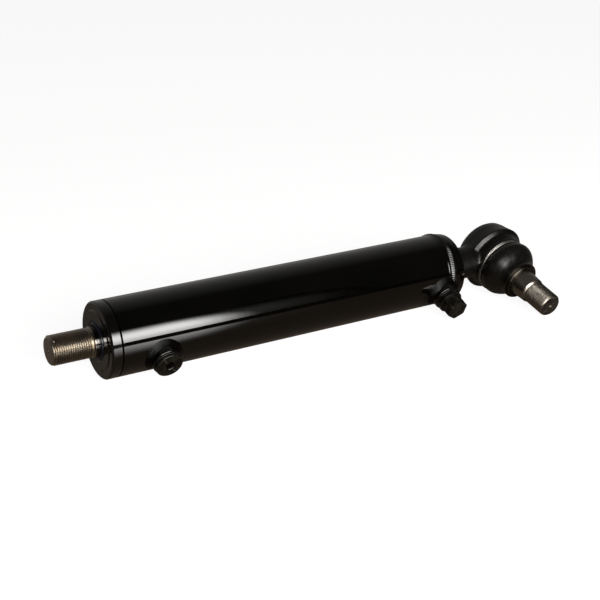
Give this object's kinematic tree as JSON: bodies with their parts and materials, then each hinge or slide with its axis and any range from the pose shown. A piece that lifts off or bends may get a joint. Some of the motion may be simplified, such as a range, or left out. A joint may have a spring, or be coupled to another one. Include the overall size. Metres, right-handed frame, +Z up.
{
  "type": "hydraulic cylinder",
  "caption": "Double-acting hydraulic steering cylinder: black round barrel, threaded piston rod, plugged side ports and a booted ball joint on the cap end.",
  "frame": {"origin": "centre of the ball joint's ball, on the cylinder's axis", "axes": "+X along the cylinder from the ball joint to the rod's end, which is the direction of extension; +Y horizontal to the side that the ports and the ball stud point to; +Z up with the cylinder lying on its tube"},
  "size_m": [0.5216, 0.1309, 0.0724],
  "materials": {
    "gloss_black_paint": "gloss",
    "black_plug": "satin",
    "washer_steel": "satin",
    "chrome_rod": "polished with a machined thread",
    "machined_steel": "machined",
    "spring_steel": "satin",
    "zinc_nut": "zinc plated",
    "cast_piston": "machined",
    "black_rubber": "satin",
    "boot_rubber": "satin",
    "red_polyurethane": "satin",
    "green_polyurethane": "satin",
    "guide_resin": "matte",
    "white_resin": "matte"
  },
  "bodies": {
    "barrel": {"barrel_tube": "gloss_black_paint", "end_cap": "gloss_black_paint", "girth_weld": "gloss_black_paint", "shank_weld": "gloss_black_paint", "rod_port_boss": "gloss_black_paint", "cap_port_boss": "gloss_black_paint", "rod_port_weld": "gloss_black_paint", "cap_port_weld": "gloss_black_paint", "rod_port_plug": "black_plug", "cap_port_plug": "black_plug", "rod_port_washer": "washer_steel", "cap_port_washer": "washer_steel", "gland": "gloss_black_paint", "gland_lock_wire": "spring_steel", "gland_o_ring": "black_rubber", "gland_backup_ring": "white_resin", "wiper_seal": "black_rubber", "rod_seal": "red_polyurethane", "rod_guide_ring": "guide_resin", "ball_joint_housing": "gloss_black_paint", "preload_spring": "spring_steel", "housing_cover": "black_plug", "snap_ring": "spring_steel", "boot_wire": "spring_steel"},
    "piston_rings": {"piston_seal": "green_polyurethane", "piston_guide_rings": "guide_resin"},
    "rod": {"piston_rod": "chrome_rod", "piston": "cast_piston", "piston_o_ring": "black_rubber", "piston_nut": "zinc_nut"},
    "ball_seats": {"upper_ball_seat": "white_resin", "lower_ball_seat": "white_resin", "boot": "boot_rubber"},
    "boot_collar": {"boot_collar": "spring_steel"},
    "stud": {"ball_stud": "machined_steel"}
  },
  "joints": [
    {"name": "rod_slide", "type": "slide", "parent": "barrel", "child": "piston_rings", "axis": [1, 0, 0], "range_m": [0, 0.25]},
    {"name": "rod_spin", "type": "hinge", "parent": "piston_rings", "child": "rod", "pos_m": [0.3, 0, 0], "axis": [1, 0, 0], "continuous": true},
    {"name": "socket_swivel", "type": "hinge", "parent": "barrel", "child": "ball_seats", "pos_m": [0, 0, 0], "axis": [0, 0.9636, -0.2672], "continuous": true},
    {"name": "stud_tilt", "type": "hinge", "parent": "ball_seats", "child": "boot_collar", "pos_m": [0, 0, 0], "axis": [1, 0, 0], "range_deg": [-25, 25], "deforming": ["boot"]},
    {"name": "stud_spin", "type": "hinge", "parent": "boot_collar", "child": "stud", "pos_m": [0, 0, 0], "axis": [0, 0.9636, -0.2672], "continuous": true}
  ]
}
